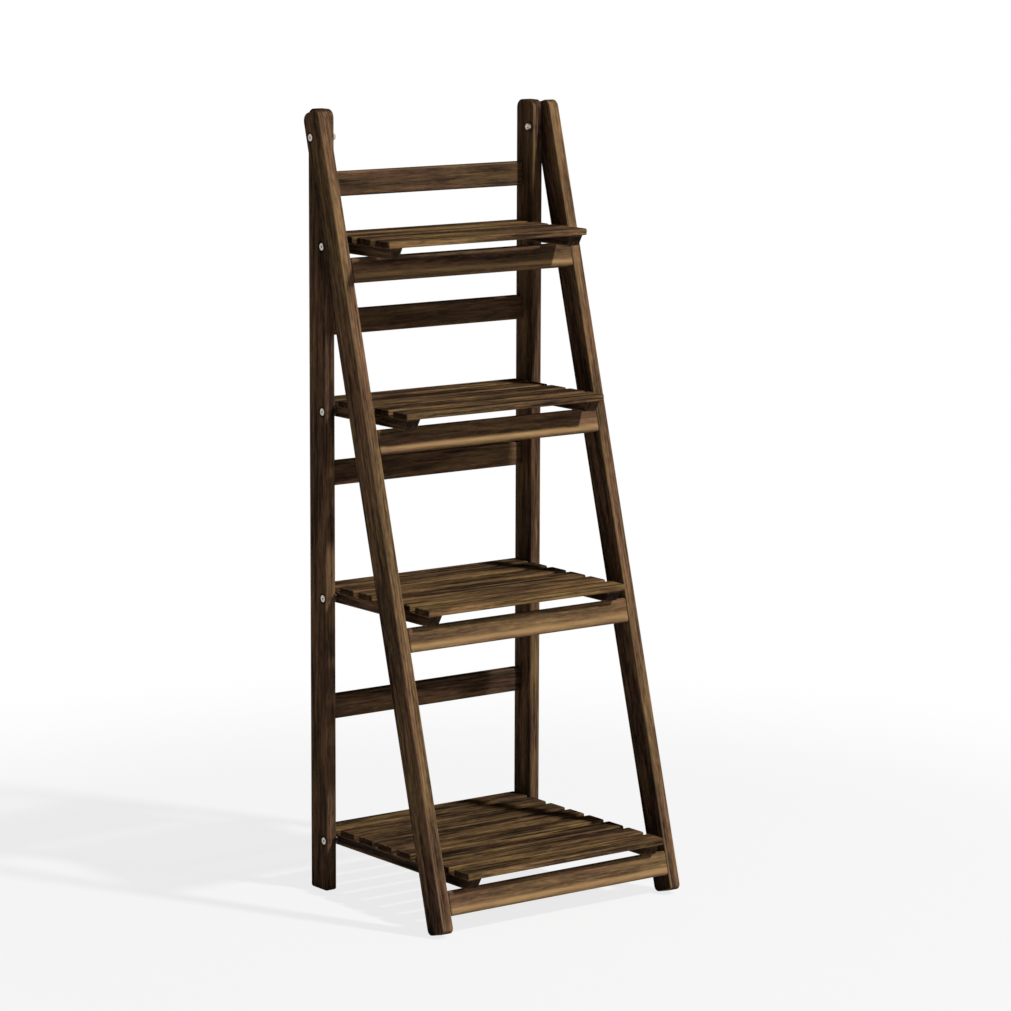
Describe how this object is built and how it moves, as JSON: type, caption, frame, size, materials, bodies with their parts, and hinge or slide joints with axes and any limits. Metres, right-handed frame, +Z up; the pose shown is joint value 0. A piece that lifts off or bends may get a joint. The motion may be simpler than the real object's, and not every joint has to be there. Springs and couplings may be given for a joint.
{
  "type": "folding ladder shelf",
  "caption": "Freestanding folding ladder shelf with slatted tiers that hinge up on an upright rear frame and a leaning front frame.",
  "frame": {"origin": "on the floor, at the middle of the stand's width and depth, the stand open for use", "axes": "+Z up; -Y towards the user, the side the front frame leans out to; +X to the user's right as they face the stand"},
  "size_m": [0.412, 0.3516, 1.1],
  "materials": {
    "fir": "dark carbonised fir, matt, open grain",
    "dowel": "plain pale hardwood",
    "zinc": "bright zinc plated",
    "nylon": "dark brown nylon"
  },
  "bodies": {
    "rear_frame": {"rear_leg_left": "fir", "rear_leg_right": "fir", "rear_rail_1": "fir", "rear_rail_2": "fir", "rear_rail_3": "fir", "rear_rail_4": "fir", "rear_frame_dowels": "dowel", "pivot_bolts": "zinc", "pivot_leg_washers": "zinc", "pivot_nut_washers": "zinc", "pivot_nuts": "zinc", "shelf_bolts": "zinc", "shelf_spacers": "nylon", "shelf_nut_washers": "zinc", "shelf_nuts": "zinc"},
    "front_frame": {"front_leg_left": "fir", "front_leg_right": "fir", "front_rail_1": "fir", "front_rail_2": "fir", "front_rail_3": "fir", "front_rail_4": "fir", "front_frame_dowels": "dowel"},
    "shelf_1": {"shelf_1_slat_1": "fir", "shelf_1_slat_2": "fir", "shelf_1_slat_3": "fir", "shelf_1_slat_4": "fir", "shelf_1_batten_left": "fir", "shelf_1_batten_right": "fir", "shelf_1_screws": "zinc"},
    "shelf_2": {"shelf_2_slat_1": "fir", "shelf_2_slat_2": "fir", "shelf_2_slat_3": "fir", "shelf_2_slat_4": "fir", "shelf_2_slat_5": "fir", "shelf_2_batten_left": "fir", "shelf_2_batten_right": "fir", "shelf_2_screws": "zinc"},
    "shelf_3": {"shelf_3_slat_1": "fir", "shelf_3_slat_2": "fir", "shelf_3_slat_3": "fir", "shelf_3_slat_4": "fir", "shelf_3_slat_5": "fir", "shelf_3_slat_6": "fir", "shelf_3_batten_left": "fir", "shelf_3_batten_right": "fir", "shelf_3_screws": "zinc"},
    "shelf_4": {"shelf_4_slat_1": "fir", "shelf_4_slat_2": "fir", "shelf_4_slat_3": "fir", "shelf_4_slat_4": "fir", "shelf_4_slat_5": "fir", "shelf_4_slat_6": "fir", "shelf_4_slat_7": "fir", "shelf_4_slat_8": "fir", "shelf_4_batten_left": "fir", "shelf_4_batten_right": "fir", "shelf_4_screws": "zinc"}
  },
  "joints": [
    {"name": "front_frame_fold", "type": "hinge", "parent": "rear_frame", "child": "front_frame", "pos_m": [0, 0.14425, 1.062], "axis": [1, 0, 0], "range_deg": [0, 13.5]},
    {"name": "shelf_1_lift", "type": "hinge", "parent": "rear_frame", "child": "shelf_1", "pos_m": [0, 0.14425, 0.9115], "axis": [-1, 0, 0], "range_deg": [0, 86]},
    {"name": "shelf_2_lift", "type": "hinge", "parent": "rear_frame", "child": "shelf_2", "pos_m": [0, 0.14425, 0.682], "axis": [-1, 0, 0], "range_deg": [0, 87]},
    {"name": "shelf_3_lift", "type": "hinge", "parent": "rear_frame", "child": "shelf_3", "pos_m": [0, 0.14425, 0.419], "axis": [-1, 0, 0], "range_deg": [0, 87]},
    {"name": "shelf_4_lift", "type": "hinge", "parent": "rear_frame", "child": "shelf_4", "pos_m": [0, 0.14425, 0.0715], "axis": [-1, 0, 0], "range_deg": [0, 87]}
  ]
}
